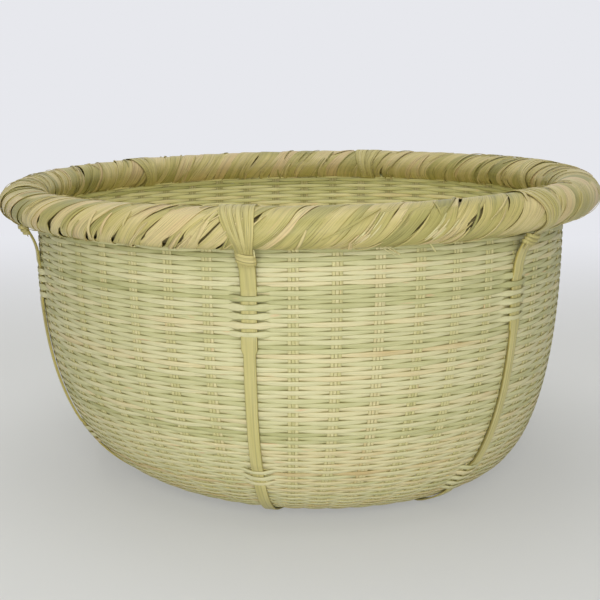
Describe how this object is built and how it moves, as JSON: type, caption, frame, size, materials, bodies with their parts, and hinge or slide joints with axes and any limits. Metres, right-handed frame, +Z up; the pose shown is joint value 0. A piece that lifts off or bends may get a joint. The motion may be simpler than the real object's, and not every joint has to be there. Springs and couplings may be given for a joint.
{
  "type": "bamboo basket",
  "caption": "Round deep bamboo rice-washing basket of dense plain weave with a thick wrapped rim and outer ribs tied to the rim.",
  "frame": {"origin": "on the surface that the basket stands on, at the middle of the rim seen from above", "axes": "+Z up, -Y the front with the lashing just left of the middle, +X to the viewer's right"},
  "size_m": [0.2897, 0.2898, 0.1478],
  "materials": {
    "weavers": "split bamboo, fine grain, pale green to straw, satin",
    "stakes": "split bamboo, flat thin strips, satin",
    "ribs": "split bamboo, smooth outer skin, satin",
    "rim_wrap": "shaved bamboo strip, fine fibre lines, satin sheen",
    "rim_core": "split bamboo, rough"
  },
  "bodies": {
    "root": {"woven_wall": "weavers", "base_plait_panel": "weavers", "stake_strip_01": "stakes", "stake_strip_02": "stakes", "stake_strip_03": "stakes", "stake_strip_04": "stakes", "stake_strip_05": "stakes", "stake_strip_06": "stakes", "stake_strip_07": "stakes", "stake_strip_08": "stakes", "stake_strip_09": "stakes", "stake_strip_10": "stakes", "stake_strip_11": "stakes", "stake_strip_12": "stakes", "stake_strip_13": "stakes", "stake_strip_14": "stakes", "stake_strip_15": "stakes", "stake_strip_16": "stakes", "stake_strip_17": "stakes", "stake_strip_18": "stakes", "stake_strip_19": "stakes", "stake_strip_20": "stakes", "stake_strip_21": "stakes", "stake_strip_22": "stakes", "stake_strip_23": "stakes", "inner_rim_hoop": "rim_core", "outer_rim_hoop": "rim_core", "rim_core_bundle": "rim_core", "rim_wrap_strip": "rim_wrap", "reinforcing_rib_1": "ribs", "reinforcing_rib_2": "ribs", "reinforcing_rib_3": "ribs", "rim_lashing_1": "rim_wrap", "rim_lashing_2": "rim_wrap", "rim_lashing_3": "rim_wrap", "rim_lashing_4": "rim_wrap", "rim_lashing_5": "rim_wrap", "rim_lashing_6": "rim_wrap", "rib_collar_1": "rim_wrap", "rib_collar_2": "rim_wrap", "rib_collar_3": "rim_wrap", "rib_collar_4": "rim_wrap", "rib_collar_5": "rim_wrap", "rib_collar_6": "rim_wrap"}
  },
  "joints": []
}
